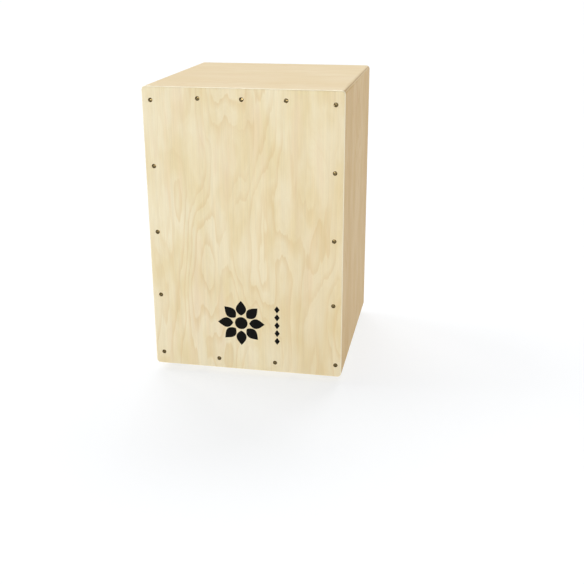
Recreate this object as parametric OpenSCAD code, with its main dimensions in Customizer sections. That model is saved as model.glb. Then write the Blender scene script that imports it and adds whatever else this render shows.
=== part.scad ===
// String cajon: a box drum that its player sits on, with guitar strings behind the playing face.
// Units are millimetres. X runs across the front, +Y points to the back and +Z is up.
// The origin is on the floor, under the centre of the box. The playing face looks along -Y.

/* [Box] */
// Width across the two side walls
body_w = 305; // [300:1:340]
// Depth from the playing face to the outside of the back
body_d = 315; // [290:1:340]
// Height of the wooden box, without its feet
body_h = 450; // [430:1:500]
// Thickness of the four walls
wall_t = 9; // [9:0.5:11]
// Radius of the four long edges that run from front to back
edge_r = 6; // [4:0.5:7]

/* [Playing face] */
// Thickness of the playing face, which drummers call the tapa
tapa_t = 3; // [3:0.5:4]
// Radius of the playing face's front edges
tapa_edge_r = 2.4; // [1:0.2:2.8]
// Distance of the side screws from the side edges
side_inset = 13.5; // [13:0.5:18]
// Distance of the lower right screw from the side edge: it sits over the joint of wall and batten
stray_inset = 9; // [9:0.5:18]
// Distance of the corner screws from the top and bottom edges
corner_inset = 20.5; // [16:0.5:21]
// Distance of the other top and bottom screws from those edges
row_inset = 16.5; // [14:0.5:20]
// Pitch of the screws along the top row
top_pitch = 66.5; // [60:0.5:68]
// Pitch of the screws along each side
side_pitch = 104.5; // [98:0.5:106]
// Distance of the two lower screws from the middle
low_offset = 46; // [36:1:47]

/* [Back] */
// Thickness of the back panel
back_t = 5; // [4:0.5:6]
// Width of the step in the walls that holds the back panel
step_w = 4.5; // [4:0.5:5]
// Radius of the sound hole
hole_r = 60; // [45:1:65]
// Height of the sound hole's centre above the middle of the box
hole_rise = 62; // [40:1:80]

/* [Battens] */
// Width of the battens behind the playing face
batten_w = 15; // [15:1:18]
// Depth of the battens behind the playing face
batten_d = 20; // [18:1:24]

/* [Strings] */
// Radius of a string
string_r = 0.4; // [0.3:0.05:0.5]
// Distance of a tensioner from the middle of the box
pair_x = 75; // [73:1:80]
// Half the spread of a string pair at its tensioner
pair_foot = 7; // [6.5:0.5:8]
// Half the spread of a string pair at the top bar
pair_head = 20; // [12:1:24]
// Height of the two string bars
bar_h = 12; // [10:1:14]
// Depth of the two string bars
bar_d = 14; // [13:1:16]

/* [Feet] */
// Height of the rubber feet
foot_h = 12; // [10:1:16]
// Radius of a foot where it meets the box
foot_r = 13; // [12:0.5:16]
// Distance of a foot's centre from the sides
foot_inset_x = 31; // [26:1:45]
// Distance of a foot's centre from the front and the back
foot_inset_y = 42; // [40:1:60]

/* [Hidden] */

$fn = 64;
cut = 1;                            // how far a cutter runs past the face that it cuts
gap = 0.05;                         // radial clearance of a screw in its hole
wood = "burlywood";
face_wood = "wheat";
batten_wood = "tan";
steel = "silver";

// Planes of the box
floor_z = foot_h;                   // underside of the bottom wall
mid_z = foot_h + body_h / 2;
roof_z = foot_h + body_h;
face_y = -body_d / 2;
back_y = body_d / 2;
frame_y = face_y + tapa_t;          // front of the walls and the battens
inner_w = body_w - 2 * wall_t;
inner_h = body_h - 2 * wall_t;
lip = wall_t - step_w;              // wood left outside the back panel

// Screws of the playing face, countersunk into the battens
tapa_screw_head_r = 3.5;
tapa_screw_r = 1.75;
tapa_screw_len = 16;
tapa_screw_sink = 0.2;              // depth of the heads below the playing face
side_x = body_w / 2 - side_inset;
stray_x = body_w / 2 - stray_inset;
corner_z = body_h / 2 - corner_inset;
row_z = body_h / 2 - row_inset;
tapa_screws_at = [
    [-side_x, -corner_z],
    [stray_x, -corner_z],
    for (x = [-side_x, side_x]) [x, corner_z],
    for (x = [-side_x, side_x], i = [-1 : 1]) [x, i * side_pitch],
    for (i = [-1 : 1]) [i * top_pitch, row_z],
    for (x = [-low_offset, low_offset]) [x, -row_z]
];
point_len = 3;                      // pointed end of every wood screw

// Tensioners: an M5 socket screw, turned from below, draws a slider down and tightens two strings
screw_r = 2.5;
screw_len = 50;
screw_head_r = 4.25;
screw_head_h = 5;
hex_af = 4;
hex_depth = 2.6;
washer_t = 1;
washer_r = 5;
clear_r = 2.75;                     // clearance hole of an M5 screw
pocket_r = 5.5;                     // pocket in the bottom wall, for the head and the key
pocket_h = 7;
slider_w = 24;
slider_d = 12;
slider_h = 8;
slider_slot = 2 * string_r + 0.6;
plate_t = 1.5;                      // sheet steel of the brackets
cheek_h = 30;
cheek_gap = 0.2;                    // between the slider and each cheek of its bracket
cheek_x = slider_w / 2 + cheek_gap;
ear_w = 11;
bracket_screw_r = 1.5;
bracket_screw_head_r = 2.8;
bracket_screw_head_h = 1.9;
bracket_screw_len = 10;
bracket_screws_x = [for (side = [-1, 1]) side * (cheek_x + plate_t + ear_w / 2)];
screw_seat_z = floor_z + pocket_h - washer_t;
batten_z = floor_z + wall_t + batten_w;   // top of the lower batten
slider_z = batten_z + 12;                 // underside of a slider with its strings in tune

// Strings: they run along the back of the playing face, through a saw cut in each string bar
string_y = frame_y + string_r + 0.1;
anchor_y = frame_y + 8.5;           // plane of the ball ends and of the tension screws
bar_y = frame_y + 1;                // front of the bars, clear of the playing face
low_bar_z = slider_z + 22;
high_bar_z = roof_z - wall_t - batten_w - 18 - bar_h;
kerf_w = 1.8;
kerf_room = 0.9;                    // from a string's centreline to the wood behind it
bend_len = 3;                       // length on each side of a corner that its bend takes up
bend_steps = 5;
string_sides = 8;
ball_r = 2;
ball_len = 4;

// Feet
foot_tip_r = 11;
foot_chamfer = 1;
foot_bore_r = 7;
foot_bore_h = 6;
foot_washer_r = 6;
foot_washer_t = 1;
foot_screw_r = 2;
foot_screw_head_r = 4;
foot_screw_head_h = 2.4;
foot_screw_len = 13;
foot_screw_z = foot_bore_h - foot_washer_t;
foot_x = body_w / 2 - foot_inset_x;
foot_y = body_d / 2 - foot_inset_y;
feet_at = [for (x = [-foot_x, foot_x], y = [-foot_y, foot_y]) [x, y]];

// ---------------------------------------------------------------- helpers

// Places a part that is drawn from above, such as a screw, so that its top faces the player.
module facing_front(x, y, z) {
    translate([x, y, z]) rotate([90, 0, 0]) children();
}

// Extrudes an outline of the box's front, drawn about its middle, from y towards the back.
module upright(y, depth) {
    facing_front(0, y + depth, mid_z) linear_extrude(depth) children();
}

// Rectangle with round corners, about the origin.
module round_rect(w, h, r) {
    difference() {
        square([w, h], center = true);
        for (x = [-1, 1], y = [-1, 1])
            translate([x * w / 2, y * h / 2])
                difference() {
                    square(2 * r, center = true);
                    translate([-x * r, -y * r]) circle(r);
                }
    }
}

// Blind hole of radius r and the given depth, down from the origin.
module hole(r, depth) {
    translate([0, 0, -depth]) cylinder(r = r, h = depth + cut);
}

module ring(outer_r, inner_r, height) {
    difference() {
        cylinder(r = outer_r, h = height);
        translate([0, 0, -cut]) cylinder(r = inner_r, h = height + 2 * cut);
    }
}

// Cross-shaped recess for a driver, down from the origin.
module cross_recess(span, width, depth) {
    for (turn = [0, 90])
        rotate(turn) translate([-span / 2, -width / 2, -depth]) cube([span, width, depth + cut]);
}

// Countersunk wood screw, its face at the origin and its point down.
module flat_screw(head_r, shank_r, length) {
    head_h = head_r - shank_r;
    difference() {
        rotate_extrude()
            polygon([
                [0, 0], [head_r, 0], [shank_r, -head_h], [shank_r, point_len - length], [0, -length]
            ]);
        cross_recess(1.15 * head_r, 0.32 * head_r, 0.75 * head_h);
    }
}

// Hole for a countersunk screw's head and shank, down from the origin.
module countersink(head_r, shank_r, depth) {
    head_h = head_r - shank_r;
    translate([0, 0, -head_h]) cylinder(r1 = shank_r, r2 = head_r, h = head_h);
    cylinder(r = head_r, h = cut);
    hole(shank_r, depth);
}

// Pan-head wood screw, the seat of its head at the origin and its point down.
module pan_screw(head_r, head_h, shank_r, length) {
    chamfer = head_h / 3;
    difference() {
        rotate_extrude()
            polygon([
                [0, head_h], [head_r - chamfer, head_h], [head_r, head_h - chamfer], [head_r, 0],
                [shank_r, 0], [shank_r, point_len - length], [0, -length]
            ]);
        translate([0, 0, head_h]) cross_recess(1.1 * head_r, 0.26 * head_r, 0.6 * head_h);
    }
}

// ---------------------------------------------------------------- wooden box

module back_outline() {
    square([body_w - 2 * lip, body_h - 2 * lip], center = true);
}

// Front view of the wall across the top of a w by h box: mitred ends and the box's round corners.
module wall_outline(w, h) {
    intersection() {
        round_rect(w, h, edge_r);
        polygon([
            [-w / 2, h / 2],
            [w / 2, h / 2],
            [w / 2 - wall_t, h / 2 - wall_t],
            [wall_t - w / 2, h / 2 - wall_t]
        ]);
    }
}

// The top wall, or a wall that is turned from there to another side of the box.
module wall(turn) {
    level = turn % 180 == 0;
    w = level ? body_w : body_h;
    h = level ? body_h : body_w;
    difference() {
        upright(frame_y, body_d - tapa_t) rotate(turn) wall_outline(w, h);
        upright(back_y - back_t, back_t + cut) back_outline();
        pilot_holes();
    }
}

module top_panel() {
    color(wood) wall(0);
}

module left_panel() {
    color(wood) wall(90);
}

module right_panel() {
    color(wood) wall(270);
}

module bottom_panel() {
    color(wood)
        difference() {
            wall(180);
            at_tensioners() {
                translate([0, 0, floor_z - cut]) cylinder(r = pocket_r, h = pocket_h + cut);
                translate([0, 0, floor_z]) cylinder(r = clear_r, h = wall_t + cut);
            }
            at_feet() mirror([0, 0, 1]) hole(foot_screw_r + gap, foot_screw_len + gap);
        }
}

module back_panel() {
    color(face_wood)
        upright(back_y - back_t, back_t)
            difference() {
                back_outline();
                translate([0, hole_rise]) circle(hole_r);
            }
}

// What the roundover takes off a straight edge along X: the edge's corner is at the origin.
module roundover(length) {
    rotate([90, 0, 90]) linear_extrude(length, center = true) roundover_profile();
}

module roundover_profile() {
    difference() {
        translate([-tapa_edge_r, -tapa_edge_r]) square(tapa_edge_r + cut);
        translate([-tapa_edge_r, -tapa_edge_r]) circle(tapa_edge_r);
    }
}

// What the roundover takes off a round corner whose centre is at the origin.
module corner_roundover() {
    rotate_extrude(angle = 90) translate([edge_r, 0]) roundover_profile();
}

module tapa_roundovers() {
    for (turn = [0 : 90 : 270]) {
        level = turn % 180 == 0;
        w = level ? body_w : body_h;
        h = level ? body_h : body_w;
        rotate(turn) {
            translate([0, h / 2, 0]) roundover(w - 2 * edge_r);
            translate([w / 2 - edge_r, h / 2 - edge_r, 0]) corner_roundover();
        }
    }
}

module tapa() {
    color(face_wood)
        difference() {
            upright(face_y, tapa_t) round_rect(body_w, body_h, edge_r);
            facing_front(0, face_y, mid_z) tapa_roundovers();
            for (p = tapa_screws_at)
                facing_front(p[0], face_y + tapa_screw_sink, mid_z + p[1])
                    countersink(tapa_screw_head_r + gap, tapa_screw_r + gap, tapa_t);
        }
}

// ---------------------------------------------------------------- battens and string bars

// Holes for the shanks of the playing face's screws.
module pilot_holes() {
    for (p = tapa_screws_at)
        facing_front(p[0], face_y, mid_z + p[1])
            hole(tapa_screw_r + gap, tapa_screw_len + 2 * tapa_screw_sink);
}

// Batten of width w and height h behind the playing face, its lower left corner at (x, z).
module batten(x, z, w, h) {
    color(batten_wood)
        difference() {
            translate([x, frame_y, z]) cube([w, batten_d, h]);
            pilot_holes();
            at_tensioners() {
                translate([0, 0, floor_z]) cylinder(r = clear_r, h = wall_t + batten_w + cut);
                for (screw_x = bracket_screws_x)
                    translate([screw_x, 0, batten_z])
                        hole(bracket_screw_r + gap, bracket_screw_len - plate_t + gap);
            }
        }
}

module level_batten(z) {
    batten(-inner_w / 2, z, inner_w, batten_w);
}

module side_batten(x) {
    batten(x, batten_z, batten_w, inner_h - 2 * batten_w);
}

// Wooden bar under the strings, with a saw cut for each.
module string_bar(z, kerfs_x, tapa_z, anchor_z) {
    color(batten_wood)
        difference() {
            translate([batten_w - inner_w / 2, bar_y, z]) cube([inner_w - 2 * batten_w, bar_d, bar_h]);
            for (x = kerfs_x) translate([x, 0, 0]) kerf(tapa_z, anchor_z);
        }
}

module string_bar_top() {
    string_bar(high_bar_z, heads_x, high_bar_z, high_bar_z + bar_h);
}

module string_bar_bottom() {
    string_bar(low_bar_z, feet_x, low_bar_z + bar_h, low_bar_z);
}

// Saw cut for a string that slopes from the playing face at tapa_z to the anchor plane at anchor_z.
module kerf(tapa_z, anchor_z) {
    slope = (anchor_y - string_y) / (anchor_z - tapa_z);
    past = sign(anchor_z - tapa_z) * cut;
    rotate([90, 0, 90])
        linear_extrude(kerf_w, center = true)
            polygon([
                [string_y + kerf_room - slope * past, tapa_z - past],
                [anchor_y + kerf_room + slope * past, anchor_z + past],
                [bar_y - cut, anchor_z + past],
                [bar_y - cut, tapa_z - past]
            ]);
}

// ---------------------------------------------------------------- strings

// Places across the box of a pair's two strings. side and way are -1 to the left and 1 to the right.
function foot_of(side, way) = side * pair_x + way * pair_foot;
function head_of(side, way) = side * pair_x + way * pair_head;
feet_x = [for (side = [-1, 1], way = [-1, 1]) foot_of(side, way)];
heads_x = [for (side = [-1, 1], way = [-1, 1]) head_of(side, way)];

function unit(v) = v / norm(v);

// The bend at a corner of a route, on the way from point a to point b.
function bend(a, corner, b) =
    let (p = corner + bend_len * unit(a - corner), q = corner + bend_len * unit(b - corner))
    [for (i = [0 : bend_steps]) let (t = i / bend_steps)
        (1 - t) * (1 - t) * p + 2 * t * (1 - t) * corner + t * t * q];

// The line of one string, from its ball above the top bar to its ball under the slider.
function string_route(head_x, foot_x) =
    let (
        head = [head_x, anchor_y, high_bar_z + bar_h + ball_r + gap],
        leave = [head_x, string_y, high_bar_z],
        arrive = [foot_x, string_y, low_bar_z + bar_h],
        under = [foot_x, anchor_y, low_bar_z],
        foot = [foot_x, anchor_y, slider_z - ball_r - gap]
    )
    concat(
        [head],
        bend(head, leave, arrive),
        bend(leave, arrive, under),
        bend(arrive, under, foot),
        [foot]
    );

function heading(path, i) = unit(path[min(i + 1, len(path) - 1)] - path[max(i - 1, 0)]);

// A closed tube whose rings lie on the points of path. No stretch of the path runs along X.
module tube(path, r, sides) {
    rings = [
        for (i = [0 : len(path) - 1])
            let (ahead = heading(path, i), u = unit(cross(ahead, [1, 0, 0])), v = cross(ahead, u))
            for (k = [0 : sides - 1])
                let (turn = 360 * k / sides) path[i] + r * (cos(turn) * u + sin(turn) * v)
    ];
    skin = [
        for (i = [0 : len(path) - 2], k = [0 : sides - 1])
            let (a = i * sides + k, b = i * sides + (k + 1) % sides)
            each [[a, b + sides, b], [a, a + sides, b + sides]]
    ];
    start_cap = [for (k = [0 : sides - 1]) k];
    end_cap = [for (k = [1 : sides]) len(path) * sides - k];
    polyhedron(rings, concat(skin, [start_cap, end_cap]));
}

module ball(centre) {
    translate(centre) rotate([0, 90, 0]) cylinder(r = ball_r, h = ball_len, center = true);
}

module guitar_string(side, way) {
    route = string_route(head_of(side, way), foot_of(side, way));
    color("goldenrod") {
        tube(route, string_r, string_sides);
        ball(route[0]);
        ball(route[len(route) - 1]);
    }
}

// ---------------------------------------------------------------- tensioners

module at_tensioners() {
    for (x = [-pair_x, pair_x]) translate([x, anchor_y, 0]) children();
}

// Steel bracket: a base screwed to the batten, and two cheeks that guide the slider.
module tension_bracket(x) {
    half_w = cheek_x + plate_t + ear_w;
    color(steel)
        translate([x, anchor_y, batten_z])
            difference() {
                union() {
                    translate([-half_w, -slider_d / 2, 0]) cube([2 * half_w, slider_d, plate_t]);
                    for (flip = [0, 1])
                        mirror([flip, 0, 0])
                            translate([cheek_x, -slider_d / 2, 0]) cube([plate_t, slider_d, cheek_h]);
                }
                translate([0, 0, plate_t]) hole(clear_r, plate_t + cut);
                for (screw_x = bracket_screws_x)
                    translate([screw_x, 0, plate_t]) hole(bracket_screw_r + gap, plate_t + cut);
            }
}

// Steel block on the tension screw's thread, slotted from the front for two strings.
module tension_slider(x) {
    color("lightsteelblue")
        translate([x, anchor_y, slider_z])
            difference() {
                translate([-slider_w / 2, -slider_d / 2, 0]) cube([slider_w, slider_d, slider_h]);
                translate([0, 0, -cut]) cylinder(r = screw_r + gap, h = slider_h + 2 * cut);
                for (slot_x = [-pair_foot, pair_foot])
                    translate([slot_x - slider_slot / 2, -slider_d / 2 - cut, -cut])
                        cube([slider_slot, slider_d / 2 + slider_slot / 2 + cut, slider_h + 2 * cut]);
            }
}

// M5 socket screw, its head in the pocket of the bottom wall.
module tension_screw(x) {
    color("dimgray")
        translate([x, anchor_y, screw_seat_z])
            difference() {
                union() {
                    translate([0, 0, -screw_head_h]) cylinder(r = screw_head_r, h = screw_head_h);
                    cylinder(r = screw_r, h = screw_len);
                }
                translate([0, 0, -screw_head_h - cut])
                    cylinder(r = hex_af / 2 / cos(30), h = hex_depth + cut, $fn = 6);
            }
}

module tension_washers() {
    color(steel) at_tensioners() translate([0, 0, screw_seat_z]) ring(washer_r, clear_r, washer_t);
}

module bracket_screw() {
    pan_screw(bracket_screw_head_r, bracket_screw_head_h, bracket_screw_r, bracket_screw_len);
}

module bracket_screws() {
    color(steel)
        at_tensioners()
            for (x = bracket_screws_x) translate([x, 0, batten_z + plate_t]) bracket_screw();
}

module tapa_screws() {
    color("darkgoldenrod")
        for (p = tapa_screws_at)
            facing_front(p[0], face_y + tapa_screw_sink, mid_z + p[1])
                flat_screw(tapa_screw_head_r, tapa_screw_r, tapa_screw_len);
}

// ---------------------------------------------------------------- feet

// Places the children at the seat of each foot's screw head.
module at_feet() {
    for (p = feet_at) translate([p[0], p[1], foot_screw_z]) children();
}

module foot(x, y) {
    bore_r = foot_screw_r + gap;
    color("dimgray")
        translate([x, y, 0])
            rotate_extrude()
                polygon([
                    [foot_bore_r, 0], [foot_tip_r - foot_chamfer, 0], [foot_tip_r, foot_chamfer],
                    [foot_r, foot_h], [bore_r, foot_h], [bore_r, foot_bore_h], [foot_bore_r, foot_bore_h]
                ]);
}

module foot_washers() {
    color(steel) at_feet() ring(foot_washer_r, foot_screw_r + gap, foot_washer_t);
}

module foot_screws() {
    color(steel)
        at_feet() mirror([0, 0, 1])
            pan_screw(foot_screw_head_r, foot_screw_head_h, foot_screw_r, foot_screw_len);
}

// ---------------------------------------------------------------- nodes

tapa();
top_panel();
bottom_panel();
left_panel();
right_panel();
back_panel();
level_batten(roof_z - wall_t - batten_w);  // front_batten_top
level_batten(floor_z + wall_t);  // front_batten_bottom
side_batten(-inner_w / 2);  // front_batten_left
side_batten(inner_w / 2 - batten_w);  // front_batten_right
string_bar_top();
string_bar_bottom();
guitar_string(-1, -1);  // string_outer_left
guitar_string(-1, 1);  // string_inner_left
guitar_string(1, -1);  // string_inner_right
guitar_string(1, 1);  // string_outer_right
tension_bracket(-pair_x);  // tension_bracket_left
tension_bracket(pair_x);  // tension_bracket_right
tension_slider(-pair_x);  // tension_slider_left
tension_slider(pair_x);  // tension_slider_right
tension_screw(-pair_x);  // tension_screw_left
tension_screw(pair_x);  // tension_screw_right
tension_washers();
bracket_screws();
tapa_screws();
foot(-foot_x, -foot_y);  // foot_front_left
foot(foot_x, -foot_y);  // foot_front_right
foot(-foot_x, foot_y);  // foot_back_left
foot(foot_x, foot_y);  // foot_back_right
foot_washers();
foot_screws();
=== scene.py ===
"""Looks for the string cajon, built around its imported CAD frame.

Lengths are in metres, except where a name ends in _mm or a docstring says millimetres.
"""
import math
from collections import namedtuple

import bmesh
import bpy
from mathutils import Matrix, Vector


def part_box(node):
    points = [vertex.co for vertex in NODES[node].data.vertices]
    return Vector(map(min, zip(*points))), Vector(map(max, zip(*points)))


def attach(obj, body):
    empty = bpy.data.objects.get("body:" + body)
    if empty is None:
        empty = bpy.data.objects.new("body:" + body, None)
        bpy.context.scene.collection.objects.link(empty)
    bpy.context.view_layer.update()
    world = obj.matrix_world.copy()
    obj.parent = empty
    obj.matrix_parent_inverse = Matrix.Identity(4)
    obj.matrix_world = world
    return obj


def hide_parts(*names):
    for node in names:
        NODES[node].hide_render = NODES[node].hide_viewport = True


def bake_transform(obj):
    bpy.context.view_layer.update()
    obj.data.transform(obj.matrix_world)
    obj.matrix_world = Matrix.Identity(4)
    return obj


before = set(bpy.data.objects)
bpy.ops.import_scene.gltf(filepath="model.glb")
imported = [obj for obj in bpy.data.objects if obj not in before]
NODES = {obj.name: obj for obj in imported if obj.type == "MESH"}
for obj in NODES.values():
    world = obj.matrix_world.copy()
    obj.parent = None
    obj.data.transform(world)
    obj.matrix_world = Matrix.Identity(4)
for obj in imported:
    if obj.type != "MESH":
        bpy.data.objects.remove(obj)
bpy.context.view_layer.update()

MM = 0.001
X, Y, Z = Vector((1, 0, 0)), Vector((0, 1, 0)), Vector((0, 0, 1))
SIDES = ("left", "right")


def srgb(red, green, blue):
    """A colour given as 0-255 display values, as the linear values that shaders take."""
    def linear(value):
        value /= 255
        return value / 12.92 if value <= 0.04045 else ((value + 0.055) / 1.055) ** 2.4

    return (linear(red), linear(green), linear(blue), 1)


# ---------------------------------------------------------------- material graphs

class Graph:
    """A material in the making. Most of its methods add nodes and return the last one's output socket."""

    def __init__(self, name):
        self.material = bpy.data.materials.new(name)
        self.material.use_nodes = True
        self.tree = self.material.node_tree
        self.shader = self.tree.nodes["Principled BSDF"]

    def put(self, socket, value):
        """Links the socket to value where that is a socket too, and otherwise sets it to value."""
        if isinstance(value, bpy.types.NodeSocket):
            self.tree.links.new(value, socket)
        else:
            socket.default_value = value

    def node(self, kind, inputs=None, output=0, **settings):
        made = self.tree.nodes.new("ShaderNode" + kind)
        for name, value in settings.items():
            setattr(made, name, value)
        for key, value in (inputs or {}).items():
            self.put(made.inputs[key], value)
        return made.outputs[output]

    def math(self, operation, a, b=0.0):
        return self.node("Math", {0: a, 1: b}, operation=operation)

    def times(self, a, b):
        return self.math("MULTIPLY", a, b)

    def over(self, a, b):
        return self.math("DIVIDE", a, b)

    def weighted(self, *parts):
        """The sum of value times weight over the parts, which are pairs of the two."""
        products = [self.times(value, weight) for value, weight in parts]
        total = products[0]
        for product in products[1:]:
            total = self.math("ADD", total, product)
        return total

    def object_mm(self):
        """The surface point in millimetres, in the piece's own coordinates, which at rest are the frame's."""
        point = self.node("TexCoord", output="Object")
        return self.node("VectorMath", {0: point, "Scale": 1 / MM}, operation="SCALE")

    def along(self, vector, axis):
        return self.node("VectorMath", {0: vector, 1: axis}, output="Value", operation="DOT_PRODUCT")

    def vector(self, x, y, z):
        return self.node("CombineXYZ", {0: x, 1: y, 2: z})

    def noise(self, vector, scale, detail, roughness=0.5):
        inputs = {"Vector": vector, "Scale": scale, "Detail": detail, "Roughness": roughness}
        return self.node("TexNoise", inputs)

    def span(self, value, low, high, to_low=0.0, to_high=1.0, smooth=True):
        """value from the range low to high, taken to the range to_low to to_high and held at its ends."""
        kind = "SMOOTHSTEP" if smooth else "LINEAR"
        inputs = {"Value": value, "From Min": low, "From Max": high, "To Min": to_low, "To Max": to_high}
        return self.node("MapRange", inputs, interpolation_type=kind, clamp=True)

    def blend(self, share, a, b, kind="MIX"):
        """Colour a with a share of colour b mixed or multiplied in."""
        made = self.tree.nodes.new("ShaderNodeMix")
        made.data_type = "RGBA"
        made.blend_type = kind
        self.put(made.inputs["Factor"], share)
        self.put(made.inputs[6], a)
        self.put(made.inputs[7], b)
        return made.outputs[2]

    def shaded(self, colour, shade):
        """The colour times the number shade."""
        return self.blend(1.0, colour, self.vector(shade, shade, shade), "MULTIPLY")

    def bump(self, height, strength, distance_mm):
        return self.node("Bump", {"Height": height, "Strength": strength, "Distance": distance_mm * MM})

    def finish(self, **inputs):
        """Sets the shader's inputs, whose names have _ for a space, and returns the material."""
        for name, value in inputs.items():
            self.put(self.shader.inputs[name.replace("_", " ")], value)
        return self.material


# ---------------------------------------------------------------- wood

PALE = srgb(241, 229, 197)
STRAW = srgb(233, 216, 173)
BLUSH = srgb(236, 215, 182)
MEAN = srgb(236, 221, 184)
RING = srgb(222, 194, 142)
CORE = srgb(230, 207, 166)
END_GRAIN = srgb(208, 176, 132)
# Colour of the glue lines between plies, and of the painted shade along the panels' seams.
GLUE_AND_SEAM_SHADE = srgb(150, 108, 70)
PINE_EARLY = srgb(233, 205, 158)
PINE_LATE = srgb(210, 163, 106)

# A sheet of plywood: unit vectors along and across its face's grain and out of its good face, its thickness,
# its number of plies, and a number that sets its figure apart from the other sheets'.
Sheet = namedtuple("Sheet", "grain across outward thickness_mm plies seed")


def veneer(g, point, sheet, boldness):
    """Face of a peeled birch veneer: (colour, height).
    The growth rings meet the face at a low angle, so they show as tall arches and loops.
    boldness is how far the figure stands out from the veneer's mean colour."""
    run = g.along(point, sheet.grain)
    side = g.along(point, sheet.across)

    def streaks(width_mm, length_mm, shift, detail=3.0):
        """Noise drawn out along the grain. shift keeps one kind of streak apart from another."""
        place = g.vector(g.over(side, width_mm), g.over(run, length_mm), 11.7 * sheet.seed + shift)
        return g.noise(place, 1.0, detail, 0.55)

    hills = streaks(62, 230, shift=0, detail=1.2)
    ripples = streaks(15, 105, shift=2, detail=2.0)
    jitter = streaks(2.0, 60, shift=4, detail=2.0)
    rings = g.weighted((hills, 11.0), (ripples, 1.5), (jitter, 0.22), (side, 0.03))
    year = g.math("FRACT", rings)
    late_wood = g.times(g.span(year, 0.45, 0.90), g.span(year, 1.0, 0.90))
    fine_lines = g.math("PINGPONG", g.times(rings, 4.0), 0.5)
    patches = g.span(streaks(34, 110, shift=6), 0.34, 0.68)
    blushes = g.span(streaks(22, 160, shift=8), 0.50, 0.74)
    ring_strength = g.span(streaks(60, 170, shift=10, detail=1.0), 0.36, 0.64, 0.08, 0.42)
    fibre = streaks(0.9, 60, shift=12, detail=4.0)
    bands = streaks(5, 420, shift=14, detail=2.0)
    pores = g.span(streaks(0.30, 3.5, shift=16, detail=1.0), 0.67, 0.80)
    # A broad, slow darkening across each sheet, towards the ring colour.
    broad_darkening = g.span(streaks(170, 700, shift=22, detail=0.0), 0.36, 0.62)

    colour = g.blend(patches, PALE, STRAW)
    colour = g.blend(g.times(blushes, 0.6), colour, BLUSH)
    for pattern, strength in ((broad_darkening, 0.25), (late_wood, ring_strength), (fine_lines, 0.12)):
        colour = g.blend(g.times(pattern, strength), colour, RING)
    fibre_shade = g.span(fibre, 0.3, 0.7, 0.967, 1.015)
    band_shade = g.span(bands, 0.3, 0.7, 0.98, 1.015)
    colour = g.shaded(colour, g.times(fibre_shade, band_shade))
    colour = g.blend(g.times(pores, 0.25), colour, END_GRAIN)
    colour = g.blend(boldness, MEAN, colour)
    height = g.math("SUBTRACT", g.times(fibre, 0.5), g.times(pores, 0.8))
    return colour, height


def cut_plies(g, point, sheet, face_mm, core, end, glue_share):
    """The plies where an edge or a roundover cuts through the sheet: (share, colour).
    share is 0 on the faces and 1 between them. core and end are the colours of plies cut along and across
    their grain, and glue_share is how dark the glue lines are."""
    ply_mm = sheet.thickness_mm / sheet.plies
    wobble = g.math("SUBTRACT", g.noise(point, 0.04, 1.0), 0.5)
    depth = g.math("SUBTRACT", face_mm, g.along(point, sheet.outward))
    layer = g.over(g.math("ADD", depth, g.times(wobble, 0.25 * ply_mm)), ply_mm)
    share = g.times(g.span(layer, 0.35, 0.6), g.span(layer, sheet.plies - 0.35, sheet.plies - 0.6))
    crossing = g.math("MODULO", g.math("FLOOR", layer), 2.0)
    place = g.vector(g.times(layer, 5.0), g.times(g.along(point, sheet.grain), 0.06), sheet.seed)
    lines = g.span(g.noise(place, 1.0, 2.0), 0.3, 0.7, 0.55, 0.95)
    glue = g.span(g.math("PINGPONG", layer, 0.5), 0.03, 0.10, 1.0, 0.0)
    colour = g.blend(g.times(crossing, lines), core, end)
    return share, g.blend(g.times(glue, glue_share), colour, GLUE_AND_SEAM_SHADE)


def seam_dust_and_shade(g, point, colour, seam_mm):
    """The colour, darkened in the joint with another panel at Y = seam_mm: dust and finish gathered there,
    and painted shade of the seam.
    """
    off = g.math("ABSOLUTE", g.math("SUBTRACT", g.along(point, Y), seam_mm))
    # Painted shade along the joint, mixed with dust: the colour darkens within about half a millimetre of the
    # seam.
    dust = g.times(g.span(off, 0.45, 0.1), g.span(g.noise(point, 0.08, 3.0), 0.25, 0.6, 0.3, 0.6))
    return g.blend(dust, colour, GLUE_AND_SEAM_SHADE)


def plywood(name, sheet, face_mm, tint=(1, 1, 1), boldness=1.0, seam_mm=None, core=CORE, end=END_GRAIN,
            glue_share=0.4, gloss=0.08, edge_gloss=0.0):
    """Plywood with veneer on its faces and plies on its edges. Its good face lies face_mm along its outward.
    gloss is the shine of the faces, and edge_gloss that of the lacquer on the cut edges."""
    g = Graph(name)
    point = g.object_mm()
    colour, height = veneer(g, point, sheet, boldness)
    # The tint is painted shade, multiplied into the wood's colour.
    colour = g.blend(1.0, colour, (*tint, 1), "MULTIPLY")
    share, edge_colour = cut_plies(g, point, sheet, face_mm, core, end, glue_share)
    colour = g.blend(share, colour, edge_colour)
    if seam_mm is not None:
        colour = seam_dust_and_shade(g, point, colour, seam_mm)
    return g.finish(
        Base_Color=colour,
        Roughness=g.span(height, 0.0, 0.5, 0.52, 0.42, smooth=False),
        Normal=g.bump(height, strength=0.35, distance_mm=0.05),
        Specular_IOR_Level=gloss,
        Coat_Weight=g.times(share, edge_gloss),
        Coat_Roughness=0.28
    )


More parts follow.
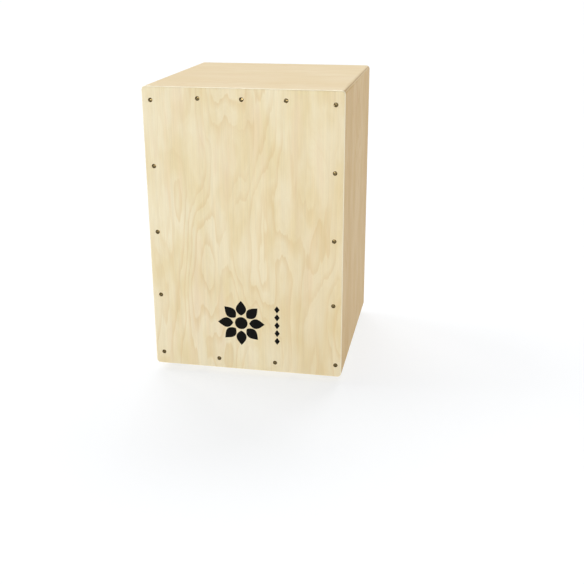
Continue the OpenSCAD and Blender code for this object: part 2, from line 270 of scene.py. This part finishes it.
def pine(name, grain, across, inward, seed):
    """Planed pine: straight growth rings in its cross-section, drawn out along the grain."""
    ring_mm = 2.6
    g = Graph(name)
    point = g.object_mm()
    run, side, deep = (g.along(point, axis) for axis in (grain, across, inward))
    wander = g.noise(g.vector(g.over(run, 160), g.over(side, 30), float(seed)), 1.0, 2.0)
    radius = g.weighted((side, 0.9), (deep, 0.35))
    rings = g.math("ADD", g.over(radius, ring_mm), g.times(wander, 5.0))
    late_wood = g.span(g.math("FRACT", rings), 0.35, 0.97)
    fibre = g.noise(g.vector(g.over(run, 24), g.over(side, 0.5), g.over(deep, 0.5)), 1.0, 3.0, 0.6)
    colour = g.blend(late_wood, PINE_EARLY, PINE_LATE)
    height = g.math("ADD", g.times(late_wood, 0.4), fibre)
    return g.finish(
        Base_Color=g.shaded(colour, g.span(fibre, 0.3, 0.7, 0.93, 1.04, smooth=False)),
        Roughness=g.span(fibre, 0.3, 0.7, 0.72, 0.6),
        Normal=g.bump(height, strength=0.5, distance_mm=0.06)
    )


# ---------------------------------------------------------------- metal, rubber and ink

def metal(name, colour, worn, roughness):
    """Plated or blackened steel: mottled and finely scratched, with bare metal where the mesh's wear says."""
    scratch_mm, scratch_length_mm = 0.5, 6
    g = Graph(name)
    point = g.object_mm()
    mottle = g.noise(point, 0.35, 4.0, 0.6)
    sizes = ((X, scratch_mm), (Y, scratch_length_mm), (Z, scratch_mm))
    place = g.vector(*(g.over(g.along(point, axis), size) for axis, size in sizes))
    scratches = g.noise(place, 1.0, 2.0, 0.6)
    wear = g.node("Attribute", output="Fac", attribute_name="wear")
    bare = g.times(wear, g.span(g.noise(point, 2.2, 3.0, 0.6), 0.35, 0.6))
    grimy = tuple(0.6 * channel for channel in colour[:3]) + (1,)
    shade = g.blend(g.times(g.span(mottle, 0.4, 0.7), 0.35), colour, grimy)
    scratched = g.span(scratches, 0.3, 0.7, roughness - 0.07, roughness + 0.09)
    return g.finish(
        Base_Color=g.blend(bare, shade, worn),
        Metallic=1.0,
        Roughness=g.math("ADD", scratched, g.times(mottle, 0.08)),
        Normal=g.bump(scratches, strength=0.25, distance_mm=0.02)
    )


def wound_wire(name):
    """Bronze winding of a guitar string, which runs nearly along Z, with painted shade in the gaps between
    its turns.
    """
    winding_mm = 0.34
    fresh, tarnished, groove = (0.78, 0.50, 0.24, 1), (0.52, 0.31, 0.14, 1), (0.16, 0.09, 0.04, 1)
    g = Graph(name)
    point = g.object_mm()
    turns = g.math("FRACT", g.times(g.along(point, Z), 1 / winding_mm))
    round_turn = g.math("SINE", g.times(turns, math.pi))
    tarnish = g.noise(point, 0.18, 3.0, 0.6)
    colour = g.blend(g.span(tarnish, 0.35, 0.7), fresh, tarnished)
    return g.finish(
        # Painted shade: the colour darkens to the groove colour where each turn meets the next.
        Base_Color=g.blend(g.span(round_turn, 0.5, 0.0), colour, groove),
        Metallic=1.0,
        Roughness=g.span(tarnish, 0.3, 0.7, 0.24, 0.42),
        Normal=g.bump(round_turn, strength=0.9, distance_mm=0.12)
    )


def brass(name):
    """Brass that has tarnished in patches."""
    fresh, tarnished = (0.83, 0.60, 0.26, 1), (0.60, 0.40, 0.16, 1)
    g = Graph(name)
    point = g.object_mm()
    tarnish = g.noise(point, 0.5, 3.0, 0.6)
    return g.finish(
        Base_Color=g.blend(g.span(tarnish, 0.35, 0.7), fresh, tarnished),
        Metallic=1.0,
        Roughness=g.span(tarnish, 0.3, 0.7, 0.22, 0.4),
        Normal=g.bump(g.noise(point, 6.0, 2.0), strength=0.15, distance_mm=0.03)
    )


def rubber(name):
    """Moulded black rubber with a fine spark-eroded texture and a little dust."""
    clean, dusty = srgb(34, 34, 35), srgb(74, 72, 68)
    g = Graph(name)
    point = g.object_mm()
    grain = g.noise(point, 3.5, 3.0, 0.6)
    dust = g.noise(point, 0.22, 4.0, 0.65)
    return g.finish(
        Base_Color=g.blend(g.times(g.span(dust, 0.48, 0.75), 0.6), clean, dusty),
        Roughness=g.span(grain, 0.3, 0.7, 0.62, 0.8),
        Normal=g.bump(grain, strength=0.6, distance_mm=0.08),
        Specular_IOR_Level=0.35
    )


def ink(name):
    """Screen-printed black ink, a little uneven over the veneer's fibres."""
    fibre_mm, fibre_length_mm = 0.7, 18
    full, thin = srgb(8, 8, 7), srgb(22, 20, 17)
    g = Graph(name)
    point = g.object_mm()
    place = g.vector(g.over(g.along(point, X), fibre_mm), 0.0, g.over(g.along(point, Z), fibre_length_mm))
    fibre = g.noise(place, 1.0, 3.0, 0.6)
    return g.finish(
        Base_Color=g.blend(g.span(fibre, 0.35, 0.75), full, thin),
        Roughness=g.span(fibre, 0.3, 0.7, 0.55, 0.7),
        Normal=g.bump(fibre, strength=0.3, distance_mm=0.04),
        Specular_IOR_Level=0.08
    )


# ---------------------------------------------------------------- mesh building

def new_object(name, bm, material, smooth_deg=35):
    """An object made from a bmesh, shaded smooth but for edges sharper than smooth_deg."""
    mesh = bpy.data.meshes.new(name)
    bm.normal_update()
    bm.to_mesh(mesh)
    bm.free()
    made = bpy.data.objects.new(name, mesh)
    bpy.context.scene.collection.objects.link(made)
    mesh.materials.append(material)
    mesh.shade_smooth()
    mesh.set_sharp_from_angle(angle=math.radians(smooth_deg))
    return made


def circle_angles(count):
    return [2 * math.pi * i / count for i in range(count)]


def skin_rings(bm, rings, closed=False):
    """Joins rings of vertices, all of one length, with quads."""
    pairs = list(zip(rings, rings[1:]))
    if closed:
        pairs.append((rings[-1], rings[0]))
    for low, high in pairs:
        for i in range(len(low)):
            j = (i + 1) % len(low)
            bm.faces.new((low[i], low[j], high[j], high[i]))


def cap_ends(bm, rings):
    """Closes the two ends of a body that was skinned from rings."""
    bm.faces.new(reversed(rings[0]))
    bm.faces.new(rings[-1])


def turned(bm, profile, angles, place, closed=False):
    """Adds a body turned about Z and put in place by a matrix. A closed profile makes a ring.
    profile is a list of (radius, height, wear) in millimetres, where radius and height may be functions of
    the angle."""
    layer = bm.verts.layers.float.get("wear") or bm.verts.layers.float.new("wear")
    rings = []
    for radius, height, worn in profile:
        ring = []
        for angle in angles:
            r = radius(angle) if callable(radius) else radius
            z = height(angle) if callable(height) else height
            vert = bm.verts.new(place @ (Vector((r * math.cos(angle), r * math.sin(angle), z)) * MM))
            vert[layer] = worn
            ring.append(vert)
        rings.append(ring)
    skin_rings(bm, rings, closed)
    if not closed:
        cap_ends(bm, rings)


def arc(centre, radius, start_deg, end_deg, steps, wear=0.0):
    """Profile points (radius, height, wear) along an arc."""
    points = []
    for i in range(steps + 1):
        angle = math.radians(start_deg + (end_deg - start_deg) * i / steps)
        points.append((centre[0] + radius * math.cos(angle), centre[1] + radius * math.sin(angle), wear))
    return points


def islands(node):
    """(lowest, highest) corner of each separate solid in a CAD node, in order of place."""
    mesh = NODES[node].data
    micron, microns_per_metre = 1e-6, 1e6
    parent = {}

    def root(key):
        while parent[key] != key:
            parent[key] = parent[parent[key]]
            key = parent[key]
        return key

    keys = [tuple(round(c * microns_per_metre) for c in v.co) for v in mesh.vertices]
    for key in keys:
        parent[key] = key
    for edge in mesh.edges:
        a, b = (root(keys[i]) for i in edge.vertices)
        parent[a] = b
    groups = {}
    for key in set(keys):
        groups.setdefault(root(key), []).append(Vector(key) * micron)
    boxes = [(Vector(map(min, *points)), Vector(map(max, *points))) for points in groups.values()]
    return sorted(boxes, key=lambda box: [round(c, 5) for c in box[0]])


def middle(box):
    return (box[0] + box[1]) / 2


def box_mm(node):
    low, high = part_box(node)
    return low / MM, high / MM


# ---------------------------------------------------------------- screws and washers, in millimetres

def cross_angles(span, width):
    """Angles that pick out every corner of a cross-shaped recess."""
    tip = math.atan2(width, span)
    inner = math.pi / 4
    between = (tip + inner) / 2
    steps = [-inner, -between, -tip, -tip / 2, 0, tip / 2, tip, between]
    return [math.pi / 2 * quarter + step for quarter in range(4) for step in steps]


def cross_radius(span, width):
    """Distance from the axis to a cross's outline, as a function of the angle."""
    def radius(angle):
        off = abs((angle + math.pi / 4) % (math.pi / 2) - math.pi / 4)
        return min(span / math.cos(off), width / max(math.sin(off), 1e-6))

    return radius


def hex_radius(across_flats):
    """Distance from the axis to a hexagon's outline, as a function of the angle."""
    def radius(angle):
        return across_flats / 2 / math.cos((angle + math.pi / 6) % (math.pi / 3) - math.pi / 6)

    return radius


def thread(core, crest, pitch, top, bottom):
    """Profile rows of a helical thread from height top down to bottom, fading in and out over a turn."""
    rows_per_turn = 5
    steepness = 3.2

    def radius_at(height):
        def radius(angle):
            phase = (height / pitch - angle / (2 * math.pi)) % 1
            fade = min(1, (top - height) / pitch, (height - bottom) / pitch)
            return core + (crest - core) * max(0, fade) * max(0, 1 - abs(phase - 0.5) * steepness)

        return radius

    count = round((top - bottom) / pitch * rows_per_turn)
    heights = [top - (top - bottom) * i / count for i in range(count + 1)]
    return [(radius_at(height), height, 0.0) for height in heights]


def recess(span, width, depth, crown):
    """Profile rows of a tapered cross recess, from its floor up to the head's crown.
    crown gives the head's height at a radius."""
    def row(scale, share, worn):
        outline = cross_radius(span * scale, width * (0.55 + 0.45 * scale))
        return (outline, lambda angle: crown(outline(angle)) - share * depth, worn)

    floor = (0.08 * width, crown(0) - depth, 0.2)
    walls = ((0.35, 0.86, 0.4), (0.72, 0.5, 0.6), (0.95, 0.06, 0.8), (1.03, 0.0, 1.0))
    return [floor] + [row(*wall) for wall in walls]


def wood_screw(bm, place, head_r, head_h, shank_r, length, flat):
    """Wood screw that points along -Z. Its head's face, or its seat if the head isn't flat, is at the place's
    origin."""
    span, width = 0.56 * head_r, 0.15 * head_r
    pitch, tip_len = 1.15, 3
    core = 0.74 * shank_r
    rise, fall = (0.2, 0.45) if flat else (head_h, 0.45 * head_h)

    def crown(radius):
        return rise - fall * (radius / head_r) ** 2

    profile = recess(span, width, 0.62 * head_h, crown)
    profile += [(share * head_r, crown(share * head_r), 0.08) for share in (0.66, 0.76, 0.86, 0.94)]
    if flat:
        profile += [(head_r, crown(head_r), 0.3), (head_r, crown(head_r) - 0.15, 0.2)]
        profile += [(shank_r + 0.1, shank_r - head_r - 0.1, 0.0)]
        neck = shank_r - head_r - 0.4
    else:
        profile += [(head_r, 0.3 * head_h, 0.3), (head_r, 0.06 * head_h, 0.2)]
        profile += [(head_r - 0.1, 0.0, 0.0), (shank_r, 0.0, 0.0)]
        neck = -1.0
    profile += [(shank_r * 0.9, neck, 0.0)]
    profile += thread(core, shank_r, pitch, neck - 0.2, tip_len - length)
    profile += [(core * 0.75, 2.1 - length, 0.0), (core * 0.4, 1.0 - length, 0.0), (0.06, -length, 0.0)]
    turned(bm, list(reversed(profile)), cross_angles(span, width), place)


def washer(bm, place, outer, inner, height):
    """Stamped washer standing on the place's origin: rolled over at the top and sharp below."""
    roll = min(0.35 * height, 0.35)
    inner_roll = 0.6 * roll
    profile = [(inner, 0.0, 0.0), (outer, 0.0, 0.3)]
    profile += arc((outer - roll, height - roll), roll, 0, 90, 4, 0.5)
    profile += arc((inner + inner_roll, height - inner_roll), inner_roll, 90, 180, 3, 0.4)
    turned(bm, profile, circle_angles(48), place, closed=True)


def socket_screw(bm, place, head_r, head_h, shank_r, length, hex_af, hex_depth):
    """Socket screw with its head's seat at the origin, its shank up +Z and its knurled head below."""
    count = 96
    pitch, knurl_depth, chamfer, plain_shank = 0.8, 0.16, 0.22, 4.0
    face = -head_h
    hexagon = hex_radius(hex_af)

    def knurl(angle):
        return head_r - (0.0 if round(angle / (2 * math.pi) * count) % 2 else knurl_depth)

    profile = [(0.05, face + hex_depth + 0.9, 0.0), (lambda a: 0.94 * hexagon(a), face + hex_depth, 0.0)]
    profile += [(hexagon, face + hex_depth - 0.1, 0.1), (hexagon, face + chamfer, 0.5)]
    profile += [(lambda a: hexagon(a) + chamfer, face, 1.0)]
    profile += [(head_r - 0.55, face, 0.5), (head_r - 0.3, face + 0.08, 0.8)]
    profile += [(head_r - 0.08, face + 0.5, 0.8), (knurl, face + 0.62, 0.5)]
    profile += [(knurl, -0.5, 0.4), (head_r - 0.05, -0.4, 0.3), (head_r - 0.1, 0.0, 0.0)]
    profile += [(shank_r, 0.0, 0.0), (shank_r, plain_shank, 0.0)]
    rows = thread(0.84 * shank_r, shank_r, pitch, -plain_shank - 0.2, 1.0 - length)
    profile += [((lambda a, f=radius: f(-a)), -height, 0.25) for radius, height, _ in rows]
    profile += [(0.78 * shank_r, length - 0.5, 0.3), (0.62 * shank_r, length, 0.2)]
    turned(bm, profile, circle_angles(count), place)


# ---------------------------------------------------------------- strings

def rounded(points, reach, steps):
    """The points as a route whose corners are rounded, each over reach on both sides."""
    route = [points[0]]
    for before, corner, after in zip(points, points[1:], points[2:]):
        start = corner + (before - corner).normalized() * reach
        end = corner + (after - corner).normalized() * reach
        for i in range(steps + 1):
            t = i / steps
            route.append((1 - t) ** 2 * start + 2 * t * (1 - t) * corner + t * t * end)
    return route + [points[-1]]


def filled(route, spacing):
    """The route with points added so that none are further apart than spacing."""
    dense = [route[0]]
    for a, b in zip(route, route[1:]):
        count = max(1, math.ceil((b - a).length / spacing))
        dense += [a.lerp(b, (i + 1) / count) for i in range(count)]
    return dense


def tube(bm, route, radius_at, sides=12):
    """Adds a tube along a route that never runs along X. radius_at takes the distance from both ends."""
    lengths = [0.0]
    for a, b in zip(route, route[1:]):
        lengths.append(lengths[-1] + (b - a).length)
    rings = []
    for i, point in enumerate(route):
        ahead = (route[min(i + 1, len(route) - 1)] - route[max(i - 1, 0)]).normalized()
        u = ahead.cross(X).normalized()
        v = ahead.cross(u)
        radius = radius_at(lengths[i], lengths[-1] - lengths[i])
        spokes = [math.cos(a) * u + math.sin(a) * v for a in circle_angles(sides)]
        rings.append([bm.verts.new(point + radius * spoke) for spoke in spokes])
    skin_rings(bm, rings)
    cap_ends(bm, rings)


def ball_end(bm, centre, radius_mm, length_mm):
    """Brass ball end: a grooved ring whose hole lies along X."""
    half, hole, groove = length_mm / 2, 0.42 * radius_mm, 0.72 * radius_mm
    side = arc((radius_mm - 0.3, half - 0.3), 0.3, 90, 0, 4, 0.4)
    outside = [(groove + 0.2, 0.45 * half, 0.0), (groove, 0.28 * half, 0.0)]
    top = [(hole, half - 0.2, 0.0), (hole + 0.2, half, 0.2)] + side + outside
    profile = top + [(r, -h, w) for r, h, w in reversed(top)]
    place = Matrix.Translation(centre) @ Matrix.Rotation(math.pi / 2, 4, "Y")
    turned(bm, profile, circle_angles(32), place, closed=True)


# ---------------------------------------------------------------- panels from the frame

def dress(node, material, bevel_mm=0.3):
    """Gives a CAD node its material, and eases its edges."""
    piece = NODES[node]
    piece.data.materials.clear()
    piece.data.materials.append(material)
    weld = piece.modifiers.new("weld", "WELD")
    weld.merge_threshold = 1e-6
    flat = piece.modifiers.new("flat", "DECIMATE")
    flat.decimate_type = "DISSOLVE"
    flat.angle_limit = math.radians(0.5)
    bevel = piece.modifiers.new("ease", "BEVEL")
    bevel.width = bevel_mm * MM
    bevel.segments = 2
    bevel.limit_method = "ANGLE"
    bevel.angle_limit = math.radians(40)
    bevel.harden_normals = False


def dress_panel(node, sheet, bevel_mm=0.3, **looks):
    """Gives a panel its plywood, whose good face is where the panel reaches furthest outwards."""
    face_mm = max(corner.dot(sheet.outward) for corner in box_mm(node))
    dress(node, plywood(node.removesuffix("_panel") + "_birch", sheet, face_mm, **looks), bevel_mm)


def dress_panels():
    tapa, left, back = box_mm("tapa"), box_mm("left_panel"), box_mm("back_panel")
    seam = tapa[1].y
    tapa_mm, back_mm = (high.y - low.y for low, high in (tapa, back))
    wall_mm = box_mm("front_batten_left")[0].x - left[0].x
    # The playing face's cut edges are near white: partly the pale core plies, partly a painted highlight
    # along the roundover.
    pale_highlight_edge = {
        "core": srgb(255, 245, 214),
        "end": srgb(252, 237, 200),
        "glue_share": 0.15,
        "gloss": 0.16,
        "edge_gloss": 0.9
    }
    # The tints darken the top, the sides and the back: painted shade, deepest on the right side, less on the
    # left side and the back, least on the top.
    top_shade_look = {"tint": (0.977, 0.94, 0.93), "boldness": 0.5}
    left_tint, right_tint, back_tint = (0.90, 0.82, 0.69), (0.847, 0.713, 0.548), (0.87, 0.83, 0.76)
    dress_panel("tapa", Sheet(Z, X, -Y, tapa_mm, plies=3, seed=1), seam_mm=seam, **pale_highlight_edge)
    dress_panel("top_panel", Sheet(X, Y, Z, wall_mm, plies=7, seed=2), seam_mm=seam, **top_shade_look)
    dress_panel("bottom_panel", Sheet(X, Y, -Z, wall_mm, plies=7, seed=3), seam_mm=seam)
    dress_panel("left_panel", Sheet(Z, Y, -X, wall_mm, plies=7, seed=4), seam_mm=seam, tint=left_tint)
    dress_panel("right_panel", Sheet(Z, Y, X, wall_mm, plies=7, seed=5), seam_mm=seam, tint=right_tint)
    dress_panel("back_panel", Sheet(Z, X, Y, back_mm, plies=5, seed=6), bevel_mm=0.2, tint=back_tint)


def dress_battens():
    level = ("front_batten_top", "front_batten_bottom", "string_bar_top", "string_bar_bottom")
    for number, node in enumerate(level):
        dress(node, pine(node + "_pine", X, Z, Y, seed=number + 1), bevel_mm=0.5)
    for number, side in enumerate(SIDES):
        node = "front_batten_" + side
        dress(node, pine(node + "_pine", Z, X, Y, seed=number + 11), bevel_mm=0.5)


# ---------------------------------------------------------------- pieces that replace CAD nodes

def stand_in(node, bm, material, body="box", smooth_deg=35):
    """A detailed piece that rides on a body and is shown in place of a CAD node."""
    made = new_object(node + "_detail", bm, material, smooth_deg)
    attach(made, body)
    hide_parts(node)


def make_tapa_screws(material):
    """The playing face's flat-head screws, which point into the box, each recess at another angle."""
    inwards = Matrix.Rotation(math.pi / 2, 4, "X")
    bm = bmesh.new()
    for number, (low, high) in enumerate(islands("tapa_screws")):
        head_r = (high.x - low.x) / 2 / MM
        centre = middle((low, high))
        spin = Matrix.Rotation(math.radians(37 * number), 4, "Z")
        place = Matrix.Translation((centre.x, low.y, centre.z)) @ inwards @ spin
        length = (high.y - low.y) / MM
        wood_screw(bm, place, head_r, head_h=1.6, shank_r=1.75, length=length, flat=True)
    stand_in("tapa_screws", bm, material)


def make_pan_screws(node, shank_r, head_h, up, material):
    """Pan-head screws along Z, sized in millimetres. up is True where the heads are on top."""
    bm = bmesh.new()
    for number, (low, high) in enumerate(islands(node)):
        head_r = (high.x - low.x) / 2 / MM
        centre = middle((low, high))
        spin = Matrix.Rotation(math.radians(29 * number + 10), 4, "Z")
        seat = high.z - head_h * MM if up else low.z + head_h * MM
        place = Matrix.Translation((centre.x, centre.y, seat)) @ spin
        if not up:
            place = place @ Matrix.Rotation(math.pi, 4, "X")
        length = (high.z - low.z) / MM - head_h
        wood_screw(bm, place, head_r, head_h, shank_r, length, flat=False)
    stand_in(node, bm, material)


def make_washers(node, inner, material):
    """Washers along Z, with their rounded side down. inner is the hole's radius in millimetres."""
    bm = bmesh.new()
    for low, high in islands(node):
        centre = middle((low, high))
        place = Matrix.Translation((centre.x, centre.y, high.z)) @ Matrix.Rotation(math.pi, 4, "X")
        washer(bm, place, (high.x - low.x) / 2 / MM, inner, (high.z - low.z) / MM)
    stand_in(node, bm, material)


def make_tension_screw(side, material):
    """M5 socket screw of one tensioner, with its head under the box."""
    node = "tension_screw_" + side
    low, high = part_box(node)
    centre = middle((low, high))
    head_h = 5.0
    bm = bmesh.new()
    place = Matrix.Translation((centre.x, centre.y, low.z + head_h * MM))
    head_r = (high.x - low.x) / 2 / MM
    length = (high.z - low.z) / MM - head_h
    socket_screw(bm, place, head_r, head_h, shank_r=2.5, length=length, hex_af=4.0, hex_depth=2.6)
    stand_in(node, bm, material, side + "_screw", smooth_deg=30)


def make_foot(node, material):
    """Rubber foot: a cone with round edges, a moulded groove near its tip and a deep bore for the screw."""
    low, high = box_mm(node)
    centre = middle((low, high))
    wide, tall = (high.x - low.x) / 2, high.z - low.z
    tip, bore, screw_hole, floor = wide - 2.0, 7.0, 2.05, 6.0
    profile = [(screw_hole, tall, 0.0), (screw_hole, floor, 0.0), (bore - 0.6, floor, 0.0)]
    profile += arc((bore - 0.6, floor - 0.6), 0.6, 90, 0, 3)
    profile += [(bore, 0.7, 0.0)]
    profile += arc((bore + 0.7, 0.7), 0.7, 180, 270, 4)
    profile += arc((tip - 1.2, 1.2), 1.2, 270, 360, 5)
    profile += arc((tip + 0.35, 3.3), 0.5, 215, 145, 4)
    profile += [(wide - 0.55, tall - 2.0, 0.0)]
    profile += arc((wide - 0.8, tall - 0.8), 0.8, 0, 90, 4)
    bm = bmesh.new()
    place = Matrix.Translation((centre.x * MM, centre.y * MM, 0))
    turned(bm, profile, circle_angles(72), place, closed=True)
    stand_in(node, bm, material)


def make_string(side, way, wire, end_brass):
    """One string with its two ball ends, stretched between the box and its slider.
    Over the length called twist, at each end, the wire is turned back round itself and so is thicker."""
    node = f"string_{way}_{side}"
    low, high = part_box(node)
    ball_r_mm, ball_len_mm = 2.0, 4.0
    ball_r, ball_len = ball_r_mm * MM, ball_len_mm * MM
    wire_r, twist_r = 0.40 * MM, 0.57 * MM
    twist, twist_end = 13 * MM, 2 * MM
    leans_left = (side == "left") == (way == "outer")
    head_x = low.x + ball_len / 2 if leans_left else high.x - ball_len / 2
    foot_x = high.x - ball_len / 2 if leans_left else low.x + ball_len / 2
    top_bar, low_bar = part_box("string_bar_top"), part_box("string_bar_bottom")
    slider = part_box("tension_slider_" + side)
    near_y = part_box("tapa")[1].y + 0.5 * MM
    anchor_y = middle(slider).y
    corners = [
        Vector((head_x, anchor_y, high.z - ball_r)),
        Vector((head_x, near_y, top_bar[0].z)),
        Vector((foot_x, near_y, low_bar[1].z)),
        Vector((foot_x, anchor_y, low_bar[0].z)),
        Vector((foot_x, anchor_y, low.z + ball_r))
    ]
    route = filled(rounded(corners, reach=3 * MM, steps=8), spacing=6 * MM)

    def radius_at(from_head, from_foot):
        share = (twist - min(from_head, from_foot)) / twist_end
        return wire_r + (twist_r - wire_r) * min(1.0, max(0.0, share))

    bm = bmesh.new()
    tube(bm, route, radius_at)
    wire_faces = len(bm.faces)
    for end in (corners[0], corners[-1]):
        ball_end(bm, end, ball_r_mm, ball_len_mm)
    bm.faces.ensure_lookup_table()
    for face in list(bm.faces)[wire_faces:]:
        face.material_index = 1
    made = new_object(node + "_detail", bm, wire)
    made.data.materials.append(end_brass)
    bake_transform(made)
    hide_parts(node)


# ---------------------------------------------------------------- the printed mark

def plate(bm, outline, y, thickness):
    """A flat plate from an outline in the XZ plane, its front at y."""
    front = [bm.verts.new((x, y, z)) for x, z in outline]
    back = [bm.verts.new((x, y + thickness, z)) for x, z in outline]
    bm.faces.new(front)
    bm.faces.new(reversed(back))
    skin_rings(bm, [back, front])


def petal(centre, turn, inner, outer, width, steps=16):
    """Outline of a leaf that points away from the centre."""
    direction = Vector((math.cos(turn), math.sin(turn)))
    normal = Vector((-math.sin(turn), math.cos(turn)))
    points = []
    for i in range(2 * steps):
        share = i / steps if i <= steps else 2 - i / steps
        side = 1 if i <= steps else -1
        along = inner + (outer - inner) * share
        across = side * width * math.sin(math.pi * share ** 0.8)
        points.append(centre + direction * along + normal * across)
    return points


def make_mark(material):
    """A plain geometric rosette and a column of lozenges, printed low on the playing face."""
    left_of_middle, above_edge, radius, film = 8 * MM, 81 * MM, 38 * MM, 0.06 * MM
    petals, lozenges = 8, 5
    column_off, pitch, half_w, half_h = 58 * MM, 13.4 * MM, 4.3 * MM, 6.2 * MM
    low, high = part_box("tapa")
    y = low.y - film
    centre = Vector((middle((low, high)).x - left_of_middle, low.z + above_edge))
    bm = bmesh.new()
    disc = [centre + 0.27 * radius * Vector((math.cos(a), math.sin(a))) for a in circle_angles(48)]
    plate(bm, disc, y, film)
    for turn in circle_angles(petals):
        plate(bm, petal(centre, turn, 0.34 * radius, radius, 0.22 * radius), y, film)
    corners = ((-1, 0), (0, -1), (1, 0), (0, 1))
    for i in range(lozenges):
        level = centre.y + (i - (lozenges - 1) / 2) * pitch
        outline = [Vector((centre.x + column_off + u * half_w, level + v * half_h)) for u, v in corners]
        plate(bm, outline, y, film)
    made = new_object("printed_mark", bm, material)
    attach(made, "box")


# ---------------------------------------------------------------- the stage

def make_floor():
    """A white table that glows a little, so that the shadows on it stay pale, just clear of the feet."""
    bm = bmesh.new()
    bmesh.ops.create_grid(bm, x_segments=8, y_segments=8, size=30)
    g = Graph("studio_floor")
    mottle = g.noise(g.node("TexCoord", output="Object"), 1.5, 2.0)
    white = g.finish(
        Base_Color=g.blend(mottle, (0.34, 0.345, 0.35, 1), (0.345, 0.35, 0.355, 1)),
        Roughness=0.9,
        Specular_IOR_Level=0.0,
        Emission_Color=(0.985, 1.0, 1.02, 1),
        Emission_Strength=0.67
    )
    floor = new_object("floor", bm, white)
    floor.location.z = -0.05 * MM


def make_sky():
    """A sky that is white at the horizon, as a studio's wall, and dimmer above."""
    world = bpy.data.worlds.new("studio")
    bpy.context.scene.world = world
    world.use_nodes = True
    tree = world.node_tree
    direction = tree.nodes.new("ShaderNodeTexCoord").outputs["Generated"]
    split = tree.nodes.new("ShaderNodeSeparateXYZ")
    fall = tree.nodes.new("ShaderNodeMapRange")
    fall.interpolation_type = "SMOOTHSTEP"
    for name, value in {"From Min": 0.0, "From Max": 0.4, "To Min": 1.0, "To Max": 0.34}.items():
        fall.inputs[name].default_value = value
    tree.links.new(direction, split.inputs[0])
    tree.links.new(split.outputs["Z"], fall.inputs["Value"])
    tree.links.new(fall.outputs["Result"], tree.nodes["Background"].inputs["Strength"])
    tree.nodes["Background"].inputs["Color"].default_value = (1, 0.99, 0.97, 1)


def add_light(kind, name, place, target, power, **settings):
    light = bpy.data.lights.new(name, kind)
    light.energy = power
    for setting, value in settings.items():
        setattr(light, setting, value)
    made = bpy.data.objects.new(name, light)
    bpy.context.scene.collection.objects.link(made)
    made.location = place
    made.rotation_euler = (Vector(target) - Vector(place)).to_track_quat("-Z", "Y").to_euler()


def make_light():
    """A wide key light above, behind and to the left, and a low bar in front that glints on the metal."""
    aim = (0, 0, 0.25)
    key_places = ((-1.9, 0.3, 2.2), (-0.7, 1.5, 2.2), (0.4, 1.7, 2.2))
    for number, place in enumerate(key_places):
        add_light("SUN", f"key_{number + 1}", place, aim, power=0.95, angle=math.radians(30))
    add_light("AREA", "bar", (-0.2, -2.6, 0.35), aim, power=13.6, shape="RECTANGLE", size=0.9, size_y=0.22)
    bpy.context.scene.view_settings.view_transform = "Standard"


def make_camera():
    """The photograph's view: from the front right, a little above."""
    place = Vector((0.3172, -1.4047, 0.6393))
    azimuth, elevation, roll = (math.radians(a) for a in (11.02, 19.25, -0.20))
    camera = bpy.data.cameras.new("camera")
    camera.sensor_width = 36
    camera.lens = 54.2
    camera.shift_y = -0.046
    forward = Vector((
        -math.sin(azimuth) * math.cos(elevation),
        math.cos(azimuth) * math.cos(elevation),
        -math.sin(elevation)
    ))
    right = forward.cross(Z).normalized()
    up = right.cross(forward)
    tilted_right = right * math.cos(roll) + up * math.sin(roll)
    tilted_up = up * math.cos(roll) - right * math.sin(roll)
    turn = Matrix((tilted_right, tilted_up, -forward)).transposed().to_4x4()
    made = bpy.data.objects.new("camera", camera)
    bpy.context.scene.collection.objects.link(made)
    bpy.context.scene.camera = made
    made.matrix_world = Matrix.Translation(place) @ turn


# ---------------------------------------------------------------- assembly

def make_hardware():
    """The tensioners' steel parts, and all the screws and washers."""
    zinc = metal("zinc_plate", (0.66, 0.66, 0.63, 1), worn=(0.75, 0.75, 0.74, 1), roughness=0.32)
    black = metal("black_oxide", (0.045, 0.045, 0.048, 1), worn=(0.32, 0.31, 0.30, 1), roughness=0.38)
    bronzed = metal("bronzed_steel", (0.052, 0.031, 0.007, 1), worn=(0.50, 0.39, 0.20, 1), roughness=0.15)
    for side in SIDES:
        dress("tension_bracket_" + side, zinc, bevel_mm=0.2)
        dress("tension_slider_" + side, zinc, bevel_mm=0.4)
        make_tension_screw(side, black)
    make_tapa_screws(bronzed)
    make_pan_screws("bracket_screws", shank_r=1.5, head_h=1.9, up=True, material=zinc)
    make_pan_screws("foot_screws", shank_r=2.0, head_h=2.4, up=False, material=zinc)
    make_washers("foot_washers", inner=2.05, material=zinc)
    make_washers("tension_washers", inner=2.75, material=zinc)


def make_feet():
    material = rubber("foot_rubber")
    for side in SIDES:
        for end in ("front", "back"):
            make_foot(f"foot_{end}_{side}", material)


def make_strings():
    wire = wound_wire("wound_bronze")
    end_brass = brass("ball_brass")
    for side in SIDES:
        for way in ("outer", "inner"):
            make_string(side, way, wire, end_brass)


dress_panels()
dress_battens()
make_hardware()
make_feet()
make_strings()
make_mark(ink("black_ink"))
make_floor()
make_sky()
make_light()
make_camera()
